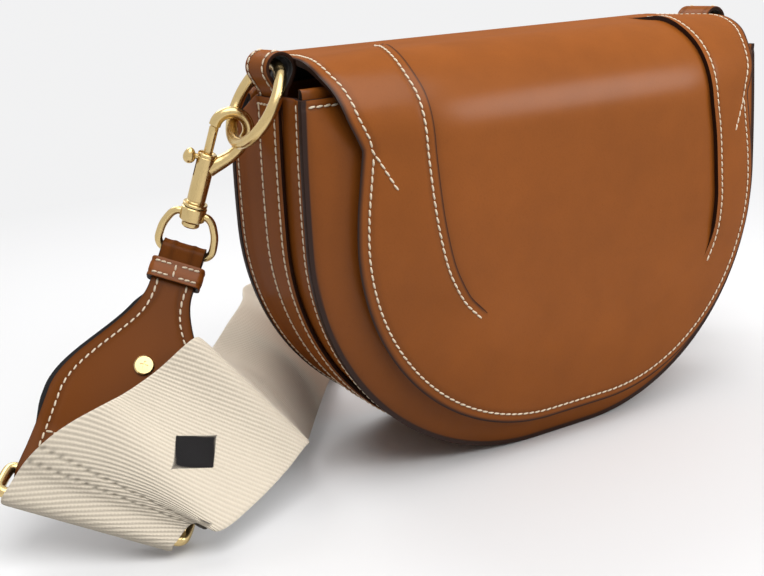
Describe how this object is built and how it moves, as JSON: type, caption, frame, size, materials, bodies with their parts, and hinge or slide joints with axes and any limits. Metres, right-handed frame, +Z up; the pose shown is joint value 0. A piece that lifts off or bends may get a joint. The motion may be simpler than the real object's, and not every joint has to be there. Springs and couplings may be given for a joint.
{
  "type": "saddle handbag",
  "caption": "Rounded tan leather saddle bag with a front flap, side rings and a broad webbing strap on swivel snap hooks, standing with the strap lying beside and behind it",
  "frame": {"origin": "middle of the flat stretch under the bag that it stands on", "axes": "+X along the bag's width to the right seen from the front, +Y to the back, +Z up"},
  "size_m": [0.3566, 0.1821, 0.165],
  "materials": {
    "tan_leather": "smooth calf leather with a low sheen, cream saddle stitching and dark painted edges",
    "black_lining": "black suede-like lining",
    "foam": "soft foam sheet behind the leather",
    "stiffener": "bonded board between leather and lining",
    "satin_brass": "pale satin gold plating",
    "spring_steel": "plain spring wire",
    "ecru_webbing": "ecru cotton webbing with a diagonal twill"
  },
  "bodies": {
    "bag": {"front_panel": "tan_leather", "front_padding": "foam", "front_board": "stiffener", "back_panel": "tan_leather", "back_board": "stiffener", "gusset": "tan_leather", "gusset_strap": "tan_leather", "ring_tab_left": "tan_leather", "ring_tab_right": "tan_leather", "lining_front": "black_lining", "lining_back": "black_lining", "lining_band": "black_lining", "front_facing": "tan_leather", "back_facing": "tan_leather", "slip_pocket": "black_lining", "flap_root": "tan_leather", "snap_socket": "satin_brass", "snap_washer": "satin_brass"},
    "flap": {"flap": "tan_leather", "flap_lining": "black_lining", "snap_stud": "satin_brass"},
    "side_ring_left": {"side_ring_left": "satin_brass"},
    "hook_left": {"hook_left": "satin_brass", "bolt_spring_left": "spring_steel"},
    "thumb_bolt_left": {"thumb_bolt_left": "satin_brass"},
    "swivel_eye_left": {"swivel_eye_left": "satin_brass"},
    "strap_tab_left": {"strap_tab_left": "tan_leather", "tab_stud_left": "satin_brass"},
    "keeper_left": {"keeper_left": "tan_leather"},
    "strap_ring_left": {"strap_ring_left": "satin_brass"},
    "side_ring_right": {"side_ring_right": "satin_brass"},
    "hook_right": {"hook_right": "satin_brass", "bolt_spring_right": "spring_steel"},
    "thumb_bolt_right": {"thumb_bolt_right": "satin_brass"},
    "swivel_eye_right": {"swivel_eye_right": "satin_brass"},
    "strap_tab_right": {"strap_tab_right": "tan_leather", "tab_stud_right": "satin_brass"},
    "keeper_right": {"keeper_right": "tan_leather"},
    "strap_ring_right": {"strap_ring_right": "satin_brass"},
    "webbing": {"webbing": "ecru_webbing"}
  },
  "joints": [
    {"name": "flap_hinge", "type": "hinge", "parent": "bag", "child": "flap", "pos_m": [0, 0.0338, 0.15], "axis": [-1, 0, 0], "range_deg": [0, 180]},
    {"name": "ring_left_swing", "type": "hinge", "parent": "bag", "child": "side_ring_left", "pos_m": [-0.1055, -0.003, 0.1586], "axis": [0, 1, 0], "range_deg": [0, 40], "deforming": ["webbing"]},
    {"name": "hook_left_swing", "type": "hinge", "parent": "side_ring_left", "child": "hook_left", "pos_m": [-0.1181, 0.00801, 0.13763], "axis": [0.3705, 0.6947, 0.6166], "range_deg": [0, 25], "deforming": ["webbing"]},
    {"name": "thumb_bolt_left_slide", "type": "slide", "parent": "hook_left", "child": "thumb_bolt_left", "axis": [-0.2501, 0.2501, -0.9354], "range_m": [0, 0.006], "stiffness_N_per_m": 120, "deforming": ["bolt_spring_left"]},
    {"name": "swivel_left", "type": "hinge", "parent": "hook_left", "child": "swivel_eye_left", "pos_m": [-0.12717, 0.01271, 0.12707], "axis": [0.2501, -0.2501, 0.9354], "range_deg": [-5, 30], "deforming": ["webbing"]},
    {"name": "strap_tab_left_pivot", "type": "hinge", "parent": "swivel_eye_left", "child": "strap_tab_left", "pos_m": [-0.13674, 0.02228, 0.09129], "axis": [-0.7951, 0.4982, 0.3458], "range_deg": [-5, 25], "deforming": ["webbing"]},
    {"name": "keeper_left_slide", "type": "slide", "parent": "strap_tab_left", "child": "keeper_left", "axis": [-0.5437, -0.3328, -0.7705], "range_m": [0, 0.003]},
    {"name": "strap_ring_left_pivot", "type": "hinge", "parent": "strap_tab_left", "child": "strap_ring_left", "pos_m": [-0.1873, -0.00867, 0.01963], "axis": [-0.7951, 0.4982, 0.3458], "range_deg": [-30, 30], "deforming": ["webbing"]},
    {"name": "ring_right_swing", "type": "hinge", "parent": "bag", "child": "side_ring_right", "pos_m": [0.1055, -0.003, 0.1586], "axis": [0, -1, 0], "range_deg": [0, 40]},
    {"name": "hook_right_swing", "type": "hinge", "parent": "side_ring_right", "child": "hook_right", "pos_m": [0.1181, 0.00801, 0.13763], "axis": [0.3705, -0.6947, -0.6166], "range_deg": [0, 25]},
    {"name": "thumb_bolt_right_slide", "type": "slide", "parent": "hook_right", "child": "thumb_bolt_right", "axis": [0.1202, 0.4937, -0.8613], "range_m": [0, 0.006], "stiffness_N_per_m": 120, "deforming": ["bolt_spring_right"]},
    {"name": "swivel_right", "type": "hinge", "parent": "hook_right", "child": "swivel_eye_right", "pos_m": [0.12553, 0.01646, 0.12731], "axis": [0.1202, 0.4937, -0.8613], "range_deg": [-5, 30]},
    {"name": "strap_tab_right_pivot", "type": "hinge", "parent": "swivel_eye_right", "child": "strap_tab_right", "pos_m": [0.13013, 0.03534, 0.09436], "axis": [-0.0503, -0.8634, -0.502], "range_deg": [-5, 15]},
    {"name": "keeper_right_slide", "type": "slide", "parent": "strap_tab_right", "child": "keeper_right", "axis": [-0.4934, 0.4585, -0.7391], "range_m": [0, 0.003]},
    {"name": "strap_ring_right_pivot", "type": "hinge", "parent": "strap_tab_right", "child": "strap_ring_right", "pos_m": [0.08424, 0.07798, 0.02562], "axis": [0.0503, 0.8634, 0.502], "range_deg": [-30, 30]},
    {"name": "webbing_pivot", "type": "hinge", "parent": "strap_ring_left", "child": "webbing", "pos_m": [-0.19445, -0.01765, 0.01613], "axis": [-0.7951, 0.4982, 0.3458], "range_deg": [-15, 20], "deforming": ["webbing"]}
  ]
}
